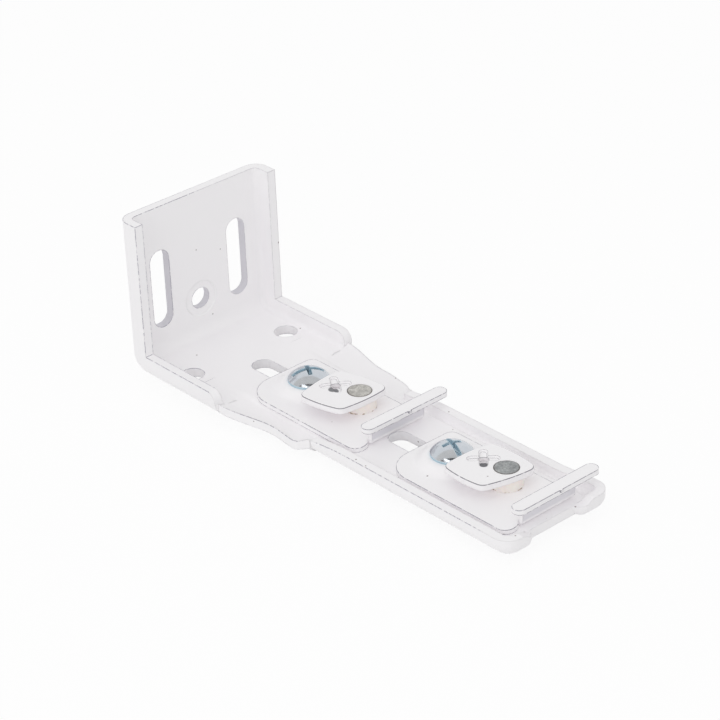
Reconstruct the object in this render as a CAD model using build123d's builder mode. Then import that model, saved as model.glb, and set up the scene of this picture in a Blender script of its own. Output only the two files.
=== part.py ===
"""Double curtain track bracket: a pressed steel wall bracket that carries two track clips.

Millimetres. X runs across the bracket, Y is 0 at the wall and the arm runs towards -Y. The pieces
are modelled with Z = 0 at the underside of the arm's side channels, and are placed at the end so
that the origin is the centre of the round hole in the back of the wall plate.
"""

import math
import os

from build123d import *

os.makedirs("parts", exist_ok=True)

# Bracket sheet
sheet = 2.4
rib_rise = 0.9
fold_radius = 1.4
wall_bend_radius = 3.2

# Wall plate and wide part of the arm
width = 45.0
wall_height = 43.6
fold_depth = 7.3
wide_length = 34.2
fold_end_radius = 2.8

# Waist and narrow arm
narrow_width = 33.0
narrow_start = 62.6
arm_length = 126.7
narrow_rim = 4.8
narrow_fold = 0.9
narrow_ramp = 12.0

# Waist with curled-up edges: half widths, and rises above the channels
waist_wide = 21.4
waist_neck = 18.6
waist_neck_start = 51.0
waist_end = 16.7
waist_end_start = 58.0
waist_rise = 1.5
waist_dip = 0.8
waist_dip_start = 52.0
waist_dip_end = 59.0

# Front ears
ear_reach = 2.7
ear_corner = 4.2
ear_inner = 6.2
ear_outer = 9.6
ear_ramp = 1.8
ear_bulge = 1.0
ear_bulge_length = 12.0

# Raised rib with a channel along each side
rib_half = 11.9
channel_slope = 1.7
channel_floor = 1.5
channel_start = 22.0
channel_full = 47.0

# Holes
wall_slot_width = 6.0
wall_slot_length = 21.5
wall_slot_x = 12.3
wall_slot_z = 21.0
wall_hole = 5.6
wall_hole_z = 13.6
wall_dish = 10.0
dish_depth = 0.35
floor_hole = 6.0
floor_hole_x = 15.4
floor_hole_y = 16.7
slot_width = 5.8
slot_length = 24.0
slot_behind_screw = 20.3

# Clips: distances along the arm are measured from the clip's screw
clip_pitch = 50.4
front_screw_back = 32.9
clip_sheet = 1.2
clip_near = 12.9
clip_far = 9.8
clip_back = 9.8
clip_front = 32.4
clip_big_radius = 8.0
clip_small_radius = 2.2
clip_bend_radius = 0.5
tab_front = 31.1
tab_end = -9.9
tab_corner = 2.6
bar_height = 5.7
bar_width = 3.6
bar_left = -9.6
bar_right = 17.2
bar_thickness = 1.3
web_left = -7.2
web_setback = 1.4
nib_width = 0.9
nib_reach = 0.3
nib_height = 0.5
boss_top = 10.6
boss_foot = 18.8
boss_rise = 1.7
screw_hole = 5.2

# Lever, rivet and spacer
rivet_x = 1.9
rivet_y = -16.75
rivet_head = 6.1
rivet_head_height = 0.8
rivet_shank = 4.8
rivet_tail = 4.0
running_gap = 0.05
lever_sheet = 1.6
lever_underside = 4.1
lever_corners = [(-9.6, 11.1), (5.3, 10.3), (5.1, -4.8), (-9.6, -1.6)]
lever_bulge = 0.7
lever_radius = 2.2
rear_lever_turn = 11.0
front_lever_turn = 0.0
cross_x = -0.9
cross_y = 6.7
cross_arm = 3.9
cross_width = 2.1
cross_depth = 0.55
cross_hole = 2.6
cross_turn = 47.0
spacer_diameter = 8.0

# Screw and nut
screw_diameter = 4.0
screw_length = 8.0
head_diameter = 10.4
head_height = 3.1
head_rim = 0.55
recess_width = 1.2
recess_slot_depth = 1.6
recess_span = 5.0
recess_depth = 2.3
rear_screw_turn = -27.5
front_screw_turn = 73.0
front_screw_shift = 0.45
nut_side = 7.0
nut_height = 2.2

# Levels that follow from the sizes above
floor_top = rib_rise + sheet
outer_fold = fold_radius + sheet
half = width / 2
narrow_half = narrow_width / 2
ear_front = arm_length + ear_reach
front_screw_y = front_screw_back - arm_length
rear_screw_y = front_screw_y + clip_pitch
rib_foot = rib_half + channel_slope


def ease(y, start, end):
    """Share from 0 to 1 between two distances from the wall, with soft ends."""
    share = min(max((y - start) / (end - start), 0), 1)
    return share**2 * (3 - 2 * share)


def channel_depth(y):
    """Depth of the side channels, which grows gently from almost nothing."""
    return rib_rise * max(ease(y, channel_start, channel_full), 0.04)


def channel_section(y, top, side):
    """One soft-edged trough across a side channel, at a distance along the arm."""
    depth = channel_depth(y)
    low = side * rib_foot
    far = side * (rib_foot + channel_floor)
    outer = side * (rib_foot + channel_floor + channel_slope)
    with BuildSketch(Plane((0, -y, top), x_dir=(1, 0, 0), z_dir=(0, -1, 0))) as section:
        with BuildLine():
            Spline((side * rib_half, 0), (low, -depth), tangents=[(side, 0), (side, 0)])
            Line((low, -depth), (far, -depth))
            Spline((far, -depth), (outer, 0), tangents=[(side, 0), (side, 0)])
            Line((outer, 0), (side * rib_half, 0))
        make_face()
    return section.sketch


def channel(top, side):
    """A side channel of the wide part, as a solid to add or cut."""
    stations = [channel_start + step * (wide_length - channel_start) / 4 for step in range(5)]
    with BuildPart() as trough:
        loft([channel_section(y, top, side) for y in stations])
    return trough.part


def floor_section(y, edge, rise):
    """Section of the floor outside the tray: rib, a channel on each side and curled-up edges."""
    depth = channel_depth(y)
    with BuildSketch(Plane((0, -y, floor_top), x_dir=(1, 0, 0), z_dir=(0, -1, 0))) as section:
        with BuildLine():
            for drop in (0, sheet):
                Line((-rib_half, -drop), (rib_half, -drop))
                for side in (-1, 1):
                    foot = (side * rib_foot, -depth - drop)
                    Spline((side * rib_half, -drop), foot, tangents=[(side, 0), (side, 0)])
                    if rise:
                        tip = (side * edge, rise - depth - drop)
                        Spline(foot, tip, tangents=[(side, 0), (side, rise / 2.2)])
            for side in (-1, 1):
                Line((side * edge, rise - depth), (side * edge, rise - depth - sheet))
        make_face()
    return section.sketch


def waist_section(y):
    """Section of the waist at a distance from the wall."""
    edge = waist_wide - (waist_wide - waist_neck) * ease(y, wide_length, waist_neck_start)
    edge -= (waist_neck - waist_end) * ease(y, waist_end_start, narrow_start)
    rise = waist_rise - waist_dip * ease(y, waist_dip_start, waist_dip_end)
    rise += waist_dip * ease(y, waist_dip_end, narrow_start)
    return floor_section(y, edge, rise)


def narrow_plan(inset):
    """Plan of the narrow arm with its two front ears, moved in by an inset.

    The far ear bulges a little past the arm's edge.
    """
    edge = narrow_half - inset
    front = ear_front - inset
    corner = ear_corner - inset
    middle = arm_length - inset
    with BuildSketch() as plan:
        for side, bulge in ((-1, 0), (1, ear_bulge)):
            corner_x = edge + bulge
            with BuildLine():
                Polyline((0, -middle), (0, -narrow_start), (side * edge, -narrow_start))
                Line((side * edge, -narrow_start), (side * edge, -front + corner + ear_bulge_length))
                Spline(
                    (side * edge, -front + corner + ear_bulge_length),
                    (side * corner_x, -front + corner),
                    tangents=[(0, -1), (0, -1)],
                )
                RadiusArc(
                    (side * corner_x, -front + corner),
                    (side * (corner_x - corner), -front),
                    side * corner,
                )
                Line((side * (corner_x - corner), -front), (side * ear_outer, -front))
                Spline(
                    (side * ear_outer, -front),
                    (side * ear_inner, -middle),
                    tangents=[(-side, 0), (-side, 0)],
                )
                Line((side * ear_inner, -middle), (0, -middle))
            make_face()
    return plan.sketch


def on_line(part, **where):
    """Edges of a part whose centres lie at the given coordinates, taken as distances from 0."""
    found = part.edges()
    for axis, value in where.items():
        found = found.filter_by(lambda e, a=axis, v=value: abs(abs(getattr(e.center(), a)) - v) < 0.01)
    return found


# Outside of the folded tray: wall plate and wide arm as one L, as deep as the folds
with BuildPart() as tray:
    with BuildSketch(Plane.YZ):
        with BuildLine():
            Polyline(
                (0, rib_rise),
                (0, wall_height),
                (-fold_depth, wall_height),
                (-fold_depth, fold_depth),
                (-wide_length, fold_depth),
                (-wide_length, rib_rise),
                close=True,
            )
        make_face()
    extrude(amount=half, both=True)
    fillet(on_line(tray, X=0, Y=0, Z=rib_rise), radius=wall_bend_radius + sheet)
    back_edges = on_line(tray, X=half, Y=0)
    floor_edges = on_line(tray, X=half, Z=rib_rise)
    bend_edges = tray.edges().filter_by(GeomType.CIRCLE)
    fillet(back_edges + floor_edges + bend_edges, radius=outer_fold)

# Inside of the folded tray
with BuildPart() as hollow:
    with BuildSketch(Plane.YZ):
        with BuildLine():
            Polyline(
                (-sheet, floor_top),
                (-sheet, wall_height + sheet),
                (-fold_depth - sheet, wall_height + sheet),
                (-fold_depth - sheet, fold_depth + sheet),
                (-wide_length - sheet, fold_depth + sheet),
                (-wide_length - sheet, floor_top),
                close=True,
            )
        make_face()
    extrude(amount=half - sheet, both=True)
    fillet(on_line(hollow, X=0, Y=sheet, Z=floor_top), radius=wall_bend_radius)
    back_edges = on_line(hollow, X=half - sheet, Y=sheet)
    floor_edges = on_line(hollow, X=half - sheet, Z=floor_top)
    bend_edges = hollow.edges().filter_by(GeomType.CIRCLE)
    fillet(back_edges + floor_edges + bend_edges, radius=fold_radius)

# Narrow arm with its low folded edges and front ears
with BuildPart() as narrow:
    add(narrow_plan(0))
    extrude(amount=narrow_rim)
    under = narrow.faces().sort_by(Axis.Z)[0].edges()
    fillet(under.sort_by(Axis.Y)[:-1], radius=narrow_fold + sheet)
with BuildPart() as narrow_hollow:
    add(narrow_plan(sheet))
    extrude(amount=narrow_rim)
    under = narrow_hollow.faces().sort_by(Axis.Z)[0].edges()
    fillet(under.sort_by(Axis.Y)[:-1], radius=narrow_fold)

# Raised rib along the narrow arm
with BuildPart() as rib:
    add(floor_section(narrow_start, rib_foot, 0))
    extrude(amount=arm_length - narrow_start, dir=(0, -1, 0))

# Waist between the wide and the narrow arm
with BuildPart() as waist:
    step = (narrow_start - wide_length) / 16
    loft([waist_section(wide_length + count * step) for count in range(17)])

# Bracket
with BuildPart() as bracket:
    add(tray.part)
    add(hollow.part, mode=Mode.SUBTRACT)

    # Rounded front ends of the folded edges
    fillet(on_line(bracket, Y=wide_length, Z=fold_depth), radius=fold_end_radius)

    # Narrow arm
    add(narrow.part)
    with Locations((0, 0, sheet)):
        add(narrow_hollow.part, mode=Mode.SUBTRACT)

    # Front rim comes down to the plain edge
    with BuildSketch(Plane.XZ.offset(arm_length - ear_corner)):
        with BuildLine():
            Polyline(
                (-ear_outer - ear_ramp, narrow_rim),
                (-ear_inner - ear_ramp, floor_top),
                (ear_inner + ear_ramp, floor_top),
                (ear_outer + ear_ramp, narrow_rim),
                close=True,
            )
        make_face()
    extrude(amount=ear_corner + ear_reach, mode=Mode.SUBTRACT)

    # Long rise of the narrow arm's folded edges
    with BuildSketch(Plane.YZ):
        with BuildLine():
            Spline(
                (-narrow_start, sheet + waist_rise),
                (-narrow_start - narrow_ramp, narrow_rim),
                tangents=[(-1, 0.1), (-1, 0)],
            )
            Polyline(
                (-narrow_start - narrow_ramp, narrow_rim),
                (-narrow_start, narrow_rim),
                (-narrow_start, sheet + waist_rise),
            )
        make_face()
    extrude(amount=half, both=True, mode=Mode.SUBTRACT)

    # Room for the raised rib, out to the ears
    with BuildSketch(Plane.XZ.offset(narrow_start)):
        with Locations((0, sheet / 2)):
            Rectangle(2 * rib_foot, sheet)
    extrude(amount=arm_length - narrow_start, mode=Mode.SUBTRACT)
    with BuildSketch(Plane.XZ.offset(arm_length)):
        with Locations((0, rib_rise / 2)):
            Rectangle(2 * rib_foot, rib_rise)
    extrude(amount=ear_reach, mode=Mode.SUBTRACT)

    # Raised rib of the narrow arm, and the waist with its channels and curled edges
    add(rib.part)
    add(waist.part)

    # Side channels in the wide part
    for side in (-1, 1):
        add(channel(rib_rise, side))
        add(channel(floor_top, side), mode=Mode.SUBTRACT)

    # Slots and hole in the wall plate, with a shallow dish round the hole
    with BuildSketch(Plane.XZ):
        with Locations((-wall_slot_x, wall_slot_z), (wall_slot_x, wall_slot_z)):
            SlotOverall(wall_slot_length, wall_slot_width, rotation=90)
        with Locations((0, wall_hole_z)):
            Circle(wall_hole / 2)
    extrude(amount=fold_depth, mode=Mode.SUBTRACT)
    with BuildSketch(Plane.XZ.offset(sheet)):
        with Locations((0, wall_hole_z)):
            Circle(wall_dish / 2)
    extrude(amount=-dish_depth, taper=45, mode=Mode.SUBTRACT)

    # Holes in the wide floor and slots for the clip screws
    with BuildSketch():
        with Locations((-floor_hole_x, -floor_hole_y), (floor_hole_x, -floor_hole_y)):
            Circle(floor_hole / 2)
        for screw_y in (rear_screw_y, front_screw_y):
            with Locations((0, screw_y + slot_behind_screw - slot_length / 2)):
                SlotOverall(slot_length, slot_width, rotation=90)
    extrude(amount=floor_top, mode=Mode.SUBTRACT)

# Clip plate with its turned-up web and cross bar, built about the screw's axis
bend_outer = clip_bend_radius + clip_sheet
web_front = clip_front - web_setback
bend_start = bend_outer - web_front
with BuildPart() as clip:
    with BuildSketch():
        with BuildLine():
            Polyline(
                (web_left, bend_start),
                (clip_far, bend_start),
                (clip_far, clip_back),
                (-clip_near, clip_back),
                (-clip_near, -tab_front),
                (tab_end, -tab_front),
            )
            Spline(
                (tab_end, -tab_front), (web_left, bend_start), tangents=[(1, 0.1), (0.5, 1)]
            )
        make_face()
        back_far = vertices().sort_by(Axis.Y)[-2:].sort_by(Axis.X)[-1]
        fillet(back_far, radius=clip_small_radius)
        back_near = vertices().sort_by(Axis.X)[:2].sort_by(Axis.Y)[-1]
        fillet(back_near, radius=clip_big_radius)
        tab_near = vertices().sort_by(Axis.Y)[:2].sort_by(Axis.X)[0]
        fillet(tab_near, radius=tab_corner)
    extrude(amount=clip_sheet)

    # Bend and web
    with BuildSketch(Plane.YZ.offset(web_left)):
        with BuildLine():
            Line((bend_start, 0), (bend_start, clip_sheet))
            JernArc(
                start=(bend_start, clip_sheet),
                tangent=(-1, 0),
                radius=clip_bend_radius,
                arc_size=-90,
            )
            Polyline(
                (-web_front + clip_sheet, bend_outer),
                (-web_front + clip_sheet, bar_height - bar_thickness),
                (-web_front, bar_height - bar_thickness),
                (-web_front, bend_outer),
            )
            JernArc(
                start=(-web_front, bend_outer), tangent=(0, -1), radius=bend_outer, arc_size=90
            )
        make_face()
    extrude(amount=clip_far - web_left)

    # Cross bar on top of the web
    bar_length = bar_right - bar_left
    with BuildSketch(Plane.XY.offset(bar_height - bar_thickness)):
        with Locations(((bar_left + bar_right) / 2, -clip_front + bar_width / 2)):
            SlotOverall(bar_length, bar_width)
    extrude(amount=bar_thickness)
    with BuildSketch(Plane.XY.offset(bar_height - nib_height)):
        with Locations(((bar_left + bar_right) / 2, -clip_front)):
            Rectangle(nib_width, 2 * nib_reach)
    extrude(amount=nib_height)

    # Round boss pressed up under the screw head, hollow below
    with BuildSketch():
        Circle(boss_foot / 2)
    extrude(amount=clip_sheet, mode=Mode.SUBTRACT)
    with BuildSketch(Plane.XZ):
        with BuildLine():
            for level in (0, clip_sheet):
                Line((0, level + boss_rise), (boss_top / 2, level + boss_rise))
                Spline(
                    (boss_top / 2, level + boss_rise),
                    (boss_foot / 2, level),
                    tangents=[(1, 0), (1, 0)],
                )
            Line((0, boss_rise), (0, clip_sheet + boss_rise))
            Line((boss_foot / 2, 0), (boss_foot / 2, clip_sheet))
        make_face()
    revolve(axis=Axis.Z)

    # Screw hole and rivet hole
    with BuildSketch():
        Circle(screw_hole / 2)
        with Locations((rivet_x, rivet_y)):
            Circle(rivet_tail / 2)
    extrude(amount=clip_sheet + boss_rise, mode=Mode.SUBTRACT)


# Locking lever, built about the rivet's axis
lever_bore = rivet_shank + 2 * running_gap
with BuildPart() as lever:
    with BuildSketch():
        with BuildLine():
            for start, end in zip(lever_corners, lever_corners[1:] + lever_corners[:1]):
                a = Vector(*start)
                b = Vector(*end)
                outward = (b - a).normalized().rotate(Axis.Z, 90)
                ThreePointArc(a, (a + b) / 2 + outward * lever_bulge, b)
        make_face()
        fillet(vertices(), radius=lever_radius)
    extrude(amount=lever_sheet)
    fillet(faces().sort_by(Axis.Z)[-1].edges(), radius=0.25)
    with BuildSketch():
        Circle(lever_bore / 2)
    extrude(amount=lever_sheet, mode=Mode.SUBTRACT)
    with BuildSketch(Plane.XY.offset(lever_sheet - rivet_head_height - running_gap)):
        Circle(rivet_head / 2 + running_gap)
    extrude(amount=lever_sheet, mode=Mode.SUBTRACT)

    # Cross-shaped impression with a small hole through its centre
    with BuildSketch(Plane.XY.offset(lever_sheet)):
        with Locations(Location((cross_x, cross_y, 0), (0, 0, cross_turn))):
            SlotOverall(2 * cross_arm, cross_width)
            SlotOverall(2 * cross_arm, cross_width, rotation=90)
    extrude(amount=-cross_depth, taper=25, mode=Mode.SUBTRACT)
    with BuildSketch():
        with Locations((cross_x, cross_y)):
            Circle(cross_hole / 2)
    extrude(amount=lever_sheet, mode=Mode.SUBTRACT)


# Rivet: flush head, shank through lever and spacer, tail through the clip plate
lever_top = lever_underside + lever_sheet
with BuildPart() as rivet:
    with BuildSketch():
        Circle(rivet_tail / 2)
    extrude(amount=clip_sheet)
    with BuildSketch(Plane.XY.offset(clip_sheet)):
        Circle(rivet_shank / 2)
    extrude(amount=lever_top - clip_sheet)
    with BuildSketch(Plane.XY.offset(lever_top - rivet_head_height)):
        Circle(rivet_head / 2)
    extrude(amount=rivet_head_height + running_gap)
    chamfer(faces().sort_by(Axis.Z)[-1].edges(), length=0.15)


# Spacer ring between the clip plate and the lever
with BuildPart() as spacer:
    with BuildSketch(Plane.XY.offset(clip_sheet)):
        Circle(spacer_diameter / 2)
        Circle(rivet_shank / 2, mode=Mode.SUBTRACT)
    extrude(amount=lever_underside - clip_sheet)


# Domed screw with a slot and a cross recess
seat = clip_sheet + boss_rise
dome_rise = head_height - head_rim
dome_radius = (head_diameter**2 / 4 + dome_rise**2) / (2 * dome_rise)
with BuildPart() as screw:
    with BuildSketch(Plane.XZ):
        with BuildLine():
            Polyline(
                (0, seat + head_height),
                (0, seat),
                (head_diameter / 2, seat),
                (head_diameter / 2, seat + head_rim),
            )
            RadiusArc(
                (head_diameter / 2, seat + head_rim), (0, seat + head_height), -dome_radius
            )
        make_face()
    revolve(axis=Axis.Z)
    with BuildSketch(Plane.XY.offset(seat + head_height)):
        Rectangle(head_diameter, recess_width)
    extrude(amount=-recess_slot_depth, mode=Mode.SUBTRACT)
    with BuildSketch(Plane.XY.offset(seat + head_height)):
        Rectangle(recess_span, recess_width)
        Rectangle(recess_width, recess_span)
    extrude(amount=-recess_depth, taper=12, mode=Mode.SUBTRACT)
    with BuildSketch(Plane.XY.offset(seat - screw_length)):
        Circle(screw_diameter / 2)
    extrude(amount=screw_length)
    chamfer(faces().sort_by(Axis.Z)[0].edges(), length=0.5)


# Square nut held in the hollow under the rib
with BuildPart() as nut:
    with BuildSketch(Plane.XY.offset(rib_rise - floor_top - nut_height)):
        Rectangle(nut_side, nut_side)
        fillet(vertices(), radius=0.8)
        Circle(screw_diameter / 2, mode=Mode.SUBTRACT)
    extrude(amount=nut_height)


# Every piece is placed from the round wall hole, and the same clip is fitted twice
pieces = [("bracket", bracket.part, Location((0, 0, -wall_hole_z)))]
for name, screw_y, turn, screw_turn, shift in (
    ("rear", rear_screw_y, rear_lever_turn, rear_screw_turn, 0),
    ("front", front_screw_y, front_lever_turn, front_screw_turn, front_screw_shift),
):
    spot = Location((0, screw_y, floor_top - wall_hole_z))
    screw_spot = Location((shift, screw_y, floor_top - wall_hole_z), (0, 0, screw_turn))
    nut_spot = Location((shift, screw_y, floor_top - wall_hole_z))
    pivot = Location((rivet_x, screw_y + rivet_y, floor_top - wall_hole_z))
    lever_spot = Location((rivet_x, screw_y + rivet_y, floor_top - wall_hole_z + lever_underside), (0, 0, turn))
    pieces += [
        (f"{name}_clip", clip.part, spot),
        (f"{name}_screw", screw.part, screw_spot),
        (f"{name}_nut", nut.part, nut_spot),
        (f"{name}_rivet", rivet.part, pivot),
        (f"{name}_spacer", spacer.part, pivot),
        (f"{name}_lever", lever.part, lever_spot),
    ]

for label, solid, spot in pieces:
    with BuildPart() as placed:
        with Locations(spot):
            add(solid)
    placed.part.label = label
    export_step(placed.part, f"parts/{label}.step")
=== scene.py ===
from math import cos, radians, sin

import bpy
from mathutils import Matrix, Vector


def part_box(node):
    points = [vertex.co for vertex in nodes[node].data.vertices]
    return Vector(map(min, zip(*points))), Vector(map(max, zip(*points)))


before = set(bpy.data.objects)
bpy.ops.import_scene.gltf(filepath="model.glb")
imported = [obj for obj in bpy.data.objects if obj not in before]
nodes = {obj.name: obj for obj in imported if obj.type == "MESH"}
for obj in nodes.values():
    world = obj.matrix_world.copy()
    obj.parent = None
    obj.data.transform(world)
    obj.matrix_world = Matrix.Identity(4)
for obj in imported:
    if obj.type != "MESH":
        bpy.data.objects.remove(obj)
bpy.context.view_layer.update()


# Bracket
# One blank of 2.4 mm mild steel, pierced, folded into a tray with mitred flanges and ribbed,
# then sprayed with white polyester powder and baked. The powder thins out on the sheared edges.

def linear(code):
    """The linear colour of an sRGB hex value."""
    parts = [int(code[i:i + 2], 16) / 255 for i in (1, 3, 5)]
    return [p / 12.92 if p <= 0.04045 else ((p + 0.055) / 1.055) ** 2.4 for p in parts] + [1]


def add_node(tree, kind, inputs=(), **settings):
    """Adds a node. Each input is a plain value or another node's output."""
    node = tree.nodes.new(kind)
    for name, value in settings.items():
        setattr(node, name, value)
    for socket, value in dict(inputs).items():
        if isinstance(value, bpy.types.NodeSocket):
            tree.links.new(value, node.inputs[socket])
        else:
            node.inputs[socket].default_value = value
    return node


# A Mix node's two colour inputs and its colour output, which share their names with others.
mix_a, mix_b, mixed = 6, 7, 2


def new_finish(name):
    """An empty material with its output, its object coordinates and its shader."""
    finish = bpy.data.materials.new(name)
    finish.use_nodes = True
    tree = finish.node_tree
    tree.nodes.clear()
    place = add_node(tree, "ShaderNodeTexCoord").outputs["Object"]
    shader = add_node(tree, "ShaderNodeBsdfPrincipled")
    add_node(tree, "ShaderNodeOutputMaterial", {"Surface": shader.outputs[0]})
    return finish, tree, place, shader


def dress(finish, *names):
    """Gives CAD nodes their finish."""
    for name in names:
        nodes[name].data.materials.clear()
        nodes[name].data.materials.append(finish)


def edge_of(tree, radius, low, high):
    """The softened normal, and how near the surface is to a sharp edge, from 0 to 1."""
    soft = add_node(tree, "ShaderNodeBevel", {"Radius": radius}, samples=8).outputs[0]
    true = add_node(tree, "ShaderNodeNewGeometry").outputs["Normal"]
    lean = add_node(tree, "ShaderNodeVectorMath", {0: soft, 1: true}, operation="DOT_PRODUCT")
    span = {"Value": lean.outputs["Value"], "From Min": high, "From Max": low}
    return soft, add_node(tree, "ShaderNodeMapRange", span).outputs[0]


def around(tree, place, spot, inner, outer):
    """1 within the inner distance of a spot, 0 from the outer distance on."""
    off = add_node(tree, "ShaderNodeVectorMath", {0: place, 1: spot}, operation="DISTANCE")
    span = {"Value": off.outputs["Value"], "From Min": outer, "From Max": inner}
    return add_node(tree, "ShaderNodeMapRange", span).outputs[0]


def facing_of(tree):
    """The x, y and z of the direction that the surface faces."""
    true = add_node(tree, "ShaderNodeNewGeometry").outputs["True Normal"]
    return add_node(tree, "ShaderNodeSeparateXYZ", {"Vector": true}).outputs


def join_fades(tree, operation, start, rows):
    """Fades from 0 to 1, each as its value goes from low to high, joined one by one to a start."""
    joined = start
    for value, low, high in rows:
        span = {"Value": value, "From Min": low, "From Max": high}
        fade = add_node(tree, "ShaderNodeMapRange", span)
        both = {0: joined, 1: fade.outputs[0]}
        joined = add_node(tree, "ShaderNodeMath", both, operation=operation).outputs[0]
    return joined


# Polyester powder coat, sprayed and baked: an even off-white with a soft orange peel of about
# 1 mm, a low gloss, a few dust specks, and a thin blue-grey line where it draws back from an edge.
# The line is broken in places of about 1 mm, and how much of it is left differs by piece.
# Every pattern's scale counts its features in a metre, so 1000 gives a grain of 1 mm.
def powder_coat(tree, place, shader, soft, masks, line_code, gaps):
    """White powder coat with an edge line where all masks meet. Returns the colour."""
    cloud = add_node(tree, "ShaderNodeTexNoise", {"Vector": place, "Scale": 45, "Detail": 3})
    whites = {"Factor": cloud.outputs["Fac"], mix_a: linear("#FAF8FA"), mix_b: linear("#FCFBFC")}
    ground = add_node(tree, "ShaderNodeMix", whites, data_type="RGBA")
    breaks = add_node(tree, "ShaderNodeTexNoise", {"Vector": place, "Scale": 900, "Detail": 2})
    span = {"Value": breaks.outputs["Fac"], "From Min": gaps[0], "From Max": gaps[1]}
    line = add_node(tree, "ShaderNodeMapRange", span)
    for mask in masks:
        factors = {0: line.outputs[0], 1: mask}
        line = add_node(tree, "ShaderNodeMath", factors, operation="MULTIPLY")
    drawn = {"Factor": line.outputs[0], mix_a: ground.outputs[mixed], mix_b: linear(line_code)}
    lined = add_node(tree, "ShaderNodeMix", drawn, data_type="RGBA")
    cells = add_node(tree, "ShaderNodeTexVoronoi", {"Vector": place, "Scale": 260})
    pick = add_node(tree, "ShaderNodeSeparateColor", {"Color": cells.outputs["Color"]})
    share_left_out = 0.72
    draw = {0: pick.outputs[0], 1: share_left_out}
    chosen = add_node(tree, "ShaderNodeMath", draw, operation="GREATER_THAN")
    span = {"Value": cells.outputs["Distance"], "From Min": 0.075, "From Max": 0.045}
    core = add_node(tree, "ShaderNodeMapRange", span)
    factors = {0: core.outputs[0], 1: chosen.outputs[0]}
    speck = add_node(tree, "ShaderNodeMath", factors, operation="MULTIPLY")
    dust = {"Factor": speck.outputs[0], mix_a: lined.outputs[mixed], mix_b: linear("#A79F9F")}
    colour = add_node(tree, "ShaderNodeMix", dust, data_type="RGBA").outputs[mixed]
    tree.links.new(colour, shader.inputs["Base Color"])
    peel = add_node(tree, "ShaderNodeTexNoise", {"Vector": place, "Scale": 1000, "Detail": 2})
    relief = {"Height": peel.outputs["Fac"], "Strength": 0.12, "Distance": 0.00008, "Normal": soft}
    bump = add_node(tree, "ShaderNodeBump", relief)
    tree.links.new(bump.outputs[0], shader.inputs["Normal"])
    shader.inputs["Roughness"].default_value = 0.36
    shader.inputs["IOR"].default_value = 1.5
    return colour


bracket_coat, tree, place, shader = new_finish("powder_coated_bracket")
soft, edge = edge_of(tree, 0.0004, 0.9, 0.985)
spot = add_node(tree, "ShaderNodeSeparateXYZ", {"Vector": place})
wide = add_node(tree, "ShaderNodeMath", {0: spot.outputs[0]}, operation="ABSOLUTE").outputs[0]
along = spot.outputs[1]

# The line shows behind the narrow arm, and on that arm only at its outer edges and its slots.
arm_start = -0.0635
arm_edge = 0.0155
slot_edge = 0.00425
rows = (
    (along, arm_start - 0.0005, arm_start + 0.0005),
    (wide, arm_edge - 0.0003, arm_edge + 0.0003),
    (wide, slot_edge + 0.00025, slot_edge - 0.00025),
)
kept = join_fades(tree, "MAXIMUM", 0, rows)

# It is rubbed away where the folds start and stop and in the dished rim of the wall hole.
tray_end = -0.0342
fold_start = -0.0626
wall_hole = (0, -0.0022, 0)
dish_radius = 0.0048
out = add_node(tree, "ShaderNodeVectorMath", {0: place, 1: wall_hole}, operation="DISTANCE")
for value, middle, half in (
    (along, tray_end, 0.0018),
    (along, fold_start, 0.0018),
    (out.outputs["Value"], dish_radius, 0.0012),
):
    band = add_node(tree, "ShaderNodeMath", {0: value, 1: middle, 2: half}, operation="COMPARE")
    rest = {0: kept, 1: band.outputs[0]}
    kept = add_node(
        tree, "ShaderNodeMath", rest, operation="SUBTRACT", use_clamp=True
    ).outputs[0]

# It is faint on the far side and ends before the front ears.
ear_start = -0.1205
span = {"Value": spot.outputs[0], "From Min": 0.002, "From Max": -0.002, "To Min": 0.3}
near = add_node(tree, "ShaderNodeMapRange", span).outputs[0]
span = {"Value": along, "From Min": ear_start - 0.001, "From Max": ear_start + 0.001}
behind = add_node(tree, "ShaderNodeMapRange", span).outputs[0]
masks = (edge, kept, near, behind)
colour = powder_coat(tree, place, shader, soft, masks, "#A3A1AE", (0.36, 0.52))

# Painted shade: the pierced walls of the wall plate's slots and hole are a darker bluish grey, as
# the shade inside them. They all lie behind the plate's front and within this reach of its middle.
lean = facing_of(tree)[1]
frontal = add_node(tree, "ShaderNodeMath", {0: lean}, operation="ABSOLUTE").outputs[0]
wall_front = -0.0026
reach_sideways = 0.0165
reach_down = -0.0080
reach_up = 0.0195
rows = (
    (frontal, 0.4, 0.2),
    (along, wall_front - 0.0001, wall_front + 0.0001),
    (wide, reach_sideways + 0.0005, reach_sideways),
    (spot.outputs[2], reach_down - 0.0005, reach_down),
    (spot.outputs[2], reach_up + 0.0005, reach_up),
)
pierced = join_fades(tree, "MULTIPLY", 0.5, rows)
# Painted shade mixed into the pierced walls.
slot_shade_inputs = {"Factor": pierced, mix_a: colour, mix_b: linear("#B3B0BE")}
slot_shaded = add_node(tree, "ShaderNodeMix", slot_shade_inputs, data_type="RGBA")
tree.links.new(slot_shaded.outputs[mixed], shader.inputs["Base Color"])
dress(bracket_coat, "bracket")


# Clips
# Each is a 1.2 mm pressing with a round boss under its screw and a bent-up web, with a cross
# bar staked on top that hooks the track. They get the same powder coat as the bracket.

clip_coat, tree, place, shader = new_finish("powder_coated_clip")
soft, edge = edge_of(tree, 0.0004, 0.9, 0.985)
height = add_node(tree, "ShaderNodeSeparateXYZ", {"Vector": place}).outputs[2]
plate_thickness = 0.0012
bar_thickness = 0.0014
plate_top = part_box("rear_clip")[0].z + plate_thickness
bar_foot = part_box("rear_clip")[1].z - bar_thickness

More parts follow.
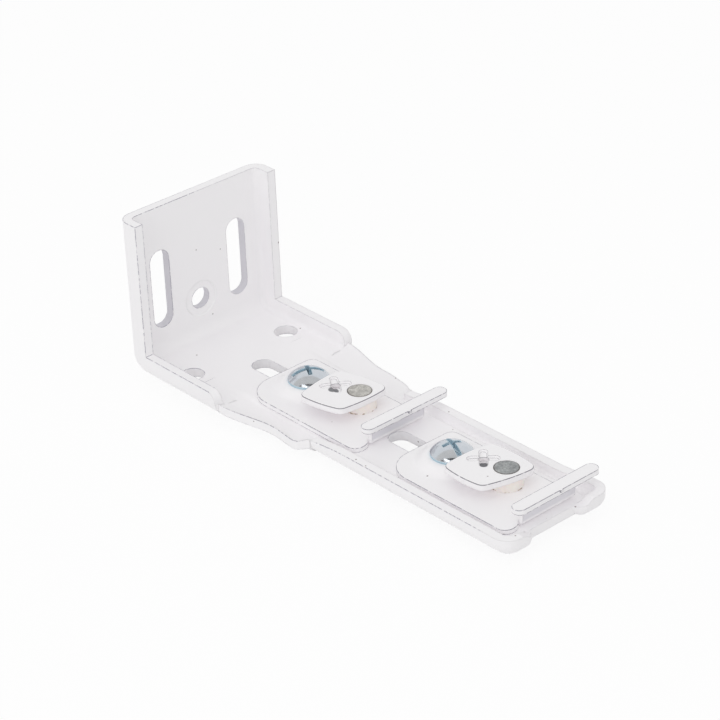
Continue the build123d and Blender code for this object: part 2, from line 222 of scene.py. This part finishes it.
# The coat holds on the web and at its foot, so the line stays on the plate and the bar.
rows = ((height, plate_top + 0.0001, plate_top), (height, bar_foot, bar_foot + 0.0001))
kept = join_fades(tree, "MAXIMUM", 0, rows)
web_feet = ((-0.0072, -0.0733, -0.0096), (-0.0072, -0.1235, -0.0096))
for foot in web_feet:
    rest = {0: kept, 1: around(tree, place, foot, 0.0012, 0.0016)}
    kept = add_node(
        tree, "ShaderNodeMath", rest, operation="SUBTRACT", use_clamp=True
    ).outputs[0]
colour = powder_coat(tree, place, shader, soft, (edge, kept), "#93919D", (0.34, 0.5))

# Painted shade: the upright web under the bar is a touch greyer, as the shade under its overhang.
rows = (
    (facing_of(tree)[1], -0.6, -0.9),
    (height, plate_top, plate_top + 0.0006),
    (height, bar_foot + 0.0001, bar_foot),
)
web_shade = join_fades(tree, "MULTIPLY", 0.9, rows)
web_shade_inputs = {"Factor": web_shade, mix_a: colour, mix_b: linear("#E2E0E6")}
web_shaded = add_node(tree, "ShaderNodeMix", web_shade_inputs, data_type="RGBA")
tree.links.new(web_shaded.outputs[mixed], shader.inputs["Base Color"])
dress(clip_coat, "rear_clip", "front_clip")


# Levers
# Small 1.6 mm pressings that turn on the rivets to lock the track, coated like the rest. A cross
# is punched in each, with painted shade in it: a grey middle and a dark near arm, as the hole's
# shade.

lever_coat, tree, place, shader = new_finish("powder_coated_lever")
soft, edge = edge_of(tree, 0.0003, 0.86, 0.965)

# The line runs where the rounded top edge turns from up to sideways. In the cross it is drawn
# only along the rim of each arm.
lift = facing_of(tree)[2]
rolled = join_fades(tree, "MULTIPLY", 1, ((lift, 0.2, 0.4), (lift, 0.97, 0.9)))
cross_reach = 0.0043
crosses = ((-0.00026, -0.05375, -0.0047), (0.0010, -0.10385, -0.0047))
pit_shades = ((-0.00225, -0.05515, -0.0052), (-0.0005, -0.1054, -0.0052))
crossed = 0
for middle in crosses:
    inside = around(tree, place, middle, cross_reach - 0.0001, cross_reach + 0.0001)
    both = {0: crossed, 1: inside}
    crossed = add_node(tree, "ShaderNodeMath", both, operation="MAXIMUM").outputs[0]
drawn = add_node(
    tree, "ShaderNodeMix", {"Factor": crossed, 2: rolled, 3: edge}, data_type="FLOAT"
)
colour = powder_coat(
    tree, place, shader, soft, (drawn.outputs[0],), "#7F7D85", (0.24, 0.42)
)
# Painted shade in each punched cross: a grey disc in its middle and a dark spot on its near arm.
for middle, tone, inner, outer in (
    (crosses[0], "#C3C3C7", 0.00125, 0.00150),
    (crosses[1], "#C3C3C7", 0.00125, 0.00150),
    (pit_shades[0], "#75757A", 0.0012, 0.0015),
    (pit_shades[1], "#606065", 0.0009, 0.00115),
):
    hole_shade_inputs = {"Factor": around(tree, place, middle, inner, outer), mix_a: colour, mix_b: linear(tone)}
    colour = add_node(tree, "ShaderNodeMix", hole_shade_inputs, data_type="RGBA").outputs[mixed]
tree.links.new(colour, shader.inputs["Base Color"])
dress(lever_coat, "rear_lever", "front_lever")


# Spacers
# Turned rings of natural nylon between clip and lever: cream, slightly translucent and waxy,
# with a little brown grime where they stand on the plate.

natural_nylon, tree, place, shader = new_finish("natural_nylon")
cloud = add_node(tree, "ShaderNodeTexNoise", {"Vector": place, "Scale": 500, "Detail": 3})
creams = {"Factor": cloud.outputs["Fac"], mix_a: linear("#FFF8F2"), mix_b: linear("#F8F0EA")}
cream = add_node(tree, "ShaderNodeMix", creams, data_type="RGBA")
height = add_node(tree, "ShaderNodeSeparateXYZ", {"Vector": place}).outputs[2]
low_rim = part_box("rear_spacer")[0].z
rows = ((height, low_rim + 0.0004, low_rim + 0.0002), (cloud.outputs["Fac"], 0.50, 0.60))
grime = join_fades(tree, "MULTIPLY", 1, rows)
stain = {"Factor": grime, mix_a: cream.outputs[mixed], mix_b: linear("#9C7A60")}
stained = add_node(tree, "ShaderNodeMix", stain, data_type="RGBA")
tree.links.new(stained.outputs[mixed], shader.inputs["Base Color"])
shader.inputs["Roughness"].default_value = 0.45
shader.inputs["IOR"].default_value = 1.53
shader.inputs["Subsurface Weight"].default_value = 0.1
shader.inputs["Subsurface Scale"].default_value = 0.001
dress(natural_nylon, "rear_spacer", "front_spacer")


# Rivets
# Plain steel rivets with flat heads, riveted cold: dull grey with a hammered grain of about
# 0.5 mm and a brownish rim. The front one is a shade darker and bluer.

for node, dull, bright in (
    ("rear_rivet", "#A3A19D", "#D6D4CF"),
    ("front_rivet", "#828486", "#B4B7B7"),
):
    cold_steel, tree, place, shader = new_finish("cold_riveted_steel_" + node)
    grain = add_node(tree, "ShaderNodeTexNoise", {"Vector": place, "Scale": 2200, "Detail": 3})
    patches = add_node(tree, "ShaderNodeTexNoise", {"Vector": place, "Scale": 700, "Detail": 2})
    both = {0: grain.outputs["Fac"], 1: patches.outputs["Fac"]}
    hammered = add_node(tree, "ShaderNodeMath", both, operation="MULTIPLY")
    span = {"Value": hammered.outputs[0], "From Min": 0.12, "From Max": 0.40}
    tone = add_node(tree, "ShaderNodeMapRange", span)
    greys = {"Factor": tone.outputs[0], mix_a: linear(dull), mix_b: linear(bright)}
    steel = add_node(tree, "ShaderNodeMix", greys, data_type="RGBA")
    low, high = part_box(node)
    head = ((low.x + high.x) / 2, (low.y + high.y) / 2, high.z)
    out = add_node(tree, "ShaderNodeVectorMath", {0: place, 1: head}, operation="DISTANCE")
    rim = join_fades(tree, "MULTIPLY", 0.65, ((out.outputs["Value"], 0.00275, 0.00295),))
    browned = {"Factor": rim, mix_a: steel.outputs[mixed], mix_b: linear("#5A4F49")}
    rimmed = add_node(tree, "ShaderNodeMix", browned, data_type="RGBA")
    tree.links.new(rimmed.outputs[mixed], shader.inputs["Base Color"])
    relief = {"Height": grain.outputs["Fac"], "Strength": 0.3, "Distance": 0.00006}
    bump = add_node(tree, "ShaderNodeBump", relief)
    tree.links.new(bump.outputs[0], shader.inputs["Normal"])
    shader.inputs["Metallic"].default_value = 0.85
    shader.inputs["Roughness"].default_value = 0.5
    dress(cold_steel, node)


# Screws and nuts
# Machine screws with domed heads, slotted and cross recessed, run into square nuts under the
# arm. Both are plated with bright zinc in faint clouds of about 1.5 mm, passivated to a blue
# tint that is strongest at the edges and on the rougher walls of the slot.

bright_zinc, tree, place, shader = new_finish("blue_passivated_zinc")
film = add_node(tree, "ShaderNodeTexNoise", {"Vector": place, "Scale": 600, "Detail": 4})
plated = {"Factor": film.outputs["Fac"], mix_a: linear("#BEC4CB"), mix_b: linear("#D0D4D9")}
zinc = add_node(tree, "ShaderNodeMix", plated, data_type="RGBA")
soft, edge = edge_of(tree, 0.0003, 0.8, 0.97)
level = add_node(tree, "ShaderNodeMath", {0: facing_of(tree)[2]}, operation="ABSOLUTE")
span = {"Value": level.outputs[0], "From Min": 0.3, "From Max": 0.15}
steep = add_node(tree, "ShaderNodeMapRange", span)
both = {0: edge, 1: steep.outputs[0]}
blued = add_node(tree, "ShaderNodeMath", both, operation="MAXIMUM")
film_strength = {0: blued.outputs[0], 1: 0.7}
share = add_node(tree, "ShaderNodeMath", film_strength, operation="MULTIPLY")
tint = {"Factor": share.outputs[0], mix_a: zinc.outputs[mixed], mix_b: linear("#BCDCEA")}
tinted = add_node(tree, "ShaderNodeMix", tint, data_type="RGBA")
tree.links.new(tinted.outputs[mixed], shader.inputs["Base Color"])
span = {"Value": film.outputs["Fac"], "To Min": 0.1, "To Max": 0.2}
gloss = add_node(tree, "ShaderNodeMapRange", span)
rougher = {0: steep.outputs[0], 1: 0.35, 2: gloss.outputs[0]}
rough = add_node(tree, "ShaderNodeMath", rougher, operation="MULTIPLY_ADD")
tree.links.new(rough.outputs[0], shader.inputs["Roughness"])
relief = {"Height": film.outputs["Fac"], "Strength": 0.15, "Distance": 0.00004, "Normal": soft}
bump = add_node(tree, "ShaderNodeBump", relief)
tree.links.new(bump.outputs[0], shader.inputs["Normal"])
span = {"Value": steep.outputs[0], "To Min": 1, "To Max": 0.5}
bare = add_node(tree, "ShaderNodeMapRange", span)
tree.links.new(bare.outputs[0], shader.inputs["Metallic"])
dress(bright_zinc, "rear_screw", "front_screw", "rear_nut", "front_nut")


# Floor
# A white sweep that the bracket lies on. To the eye and in the plated heads it stays white, with
# only a breath of shade under the object.

lowest = min(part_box(name)[0].z for name in nodes)
gap = 0.0001
bpy.ops.object.select_all(action="DESELECT")
bpy.ops.mesh.primitive_plane_add(size=6, location=(0, 0, lowest - gap))
floor = bpy.context.object
floor.name = "floor"
floor_white = bpy.data.materials.new("matt_white_paper")
floor_white.use_nodes = True
tree = floor_white.node_tree
tree.nodes.clear()


def plain_sight(tree):
    """1 for rays from the eye, in a mirror or through clear matter, otherwise 0."""
    path = add_node(tree, "ShaderNodeLightPath")
    first = add_node(
        tree,
        "ShaderNodeMath",
        {0: path.outputs["Is Camera Ray"], 1: path.outputs["Is Glossy Ray"]},
        operation="MAXIMUM",
    )
    both = add_node(
        tree,
        "ShaderNodeMath",
        {0: first.outputs[0], 1: path.outputs["Is Transmission Ray"]},
        operation="MAXIMUM",
    )
    return both.outputs[0]


paper = add_node(tree, "ShaderNodeBsdfDiffuse", {"Color": linear("#F4F4F4")})
shade = add_node(tree, "ShaderNodeBsdfDiffuse", {"Color": linear("#595959")})
glow = add_node(tree, "ShaderNodeEmission", {"Strength": 0.9})
shown = add_node(tree, "ShaderNodeAddShader", {0: shade.outputs[0], 1: glow.outputs[0]})
sweep = add_node(
    tree, "ShaderNodeMixShader", {0: plain_sight(tree), 1: paper.outputs[0], 2: shown.outputs[0]}
)
add_node(tree, "ShaderNodeOutputMaterial", {"Surface": sweep.outputs[0]})
floor.data.materials.append(floor_white)


# Light
# An even white studio: a plain world for the fill, a large soft box above and one at the left.
# The plated heads mirror a grey card over the camera, its black surround and one small lamp.

world = bpy.data.worlds.new("studio")
bpy.context.scene.world = world
world.use_nodes = True
tree = world.node_tree
tree.nodes.clear()
fill = add_node(tree, "ShaderNodeBackground", {"Color": linear("#FFFFFF"), "Strength": 0.72})
backdrop = add_node(tree, "ShaderNodeBackground", {"Color": linear("#FFFFFF"), "Strength": 1})
sky = add_node(
    tree, "ShaderNodeMixShader", {0: plain_sight(tree), 1: fill.outputs[0], 2: backdrop.outputs[0]}
)
add_node(tree, "ShaderNodeOutputWorld", {"Surface": sky.outputs[0]})
target = Vector((0, -0.06, 0))
for name, spot, width, power in (
    ("top_box", (-0.10, -0.10, 0.75), 0.8, 0.6),
    ("left_box", (-0.70, -0.20, 0.35), 0.6, 0.9),
    ("front_box", (-0.15, -0.80, 0.35), 0.6, 0.15),
):
    lamp = bpy.data.lights.new(name, "AREA")
    lamp.shape = "SQUARE"
    lamp.size = width
    lamp.energy = power
    holder = bpy.data.objects.new(name, lamp)
    holder.location = spot
    holder.rotation_euler = (target - Vector(spot)).to_track_quat("-Z", "Y").to_euler()
    holder.visible_glossy = False
    bpy.context.scene.collection.objects.link(holder)

# The cards hang in the level direction of the camera, at an angle above the target in degrees.
to_camera = Vector((-0.656, -0.755, 0)).normalized()
for name, code, strength, angle, distance, aside, width, depth in (
    ("black_card", "#141415", 1, 67, 0.66, 0, 2.4, 0.30),
    ("grey_card", "#E8E5E2", 1, 82, 0.60, 0, 2.3, 0.44),
    ("glint_card", "#FFFFFF", 3, 55, 0.55, -0.2, 0.24, 0.06),
):
    bpy.ops.object.select_all(action="DESELECT")
    bpy.ops.mesh.primitive_plane_add(size=1)
    card = bpy.context.object
    card.name = name
    card.scale = (width, depth, 1)
    rise = radians(angle)
    card.location = target + distance * (cos(rise) * to_camera + Vector((0, 0, sin(rise))))
    card.location += aside * Vector((-to_camera.y, to_camera.x, 0))
    card.rotation_euler = (card.location - target).to_track_quat("Z", "Y").to_euler()
    even_glow = bpy.data.materials.new(name)
    even_glow.use_nodes = True
    card_tree = even_glow.node_tree
    card_tree.nodes.clear()
    light = {"Color": linear(code), "Strength": strength}
    tone = add_node(card_tree, "ShaderNodeEmission", light)
    add_node(card_tree, "ShaderNodeOutputMaterial", {"Surface": tone.outputs[0]})
    card.data.materials.append(even_glow)
    card.visible_camera = False
    card.visible_diffuse = False
    card.visible_transmission = False
    card.visible_shadow = False


# Camera
# A long lens from above the near left, at the photograph's angle and framing.

azimuth = radians(-41.014)
elevation = radians(29.485)
roll = radians(-2.411)
distance = 0.703636
aim_right = 0.041832
aim_down = 0.005369
datum = 0.0128
heading = Matrix.Rotation(azimuth, 3, "Z")
tilt = Matrix.Rotation(radians(90) - elevation, 3, "X")
twist = Matrix.Rotation(roll, 3, "Z")
stance = heading @ tilt @ twist
eye = stance @ Vector((aim_right, -aim_down, distance)) - Vector((0, 0, datum))
lens = bpy.data.cameras.new("view")
lens.sensor_width = 36
lens.lens = 136.502
lens.shift_x = -0.00154
lens.shift_y = -0.00056
lens.clip_start = 0.01
lens.clip_end = 20
camera = bpy.data.objects.new("view", lens)
camera.matrix_world = Matrix.Translation(eye) @ stance.to_4x4()
bpy.context.scene.collection.objects.link(camera)
bpy.context.scene.camera = camera
bpy.context.scene.view_settings.view_transform = "Standard"
bpy.context.scene.cycles.max_bounces = 20
bpy.context.scene.cycles.diffuse_bounces = 16
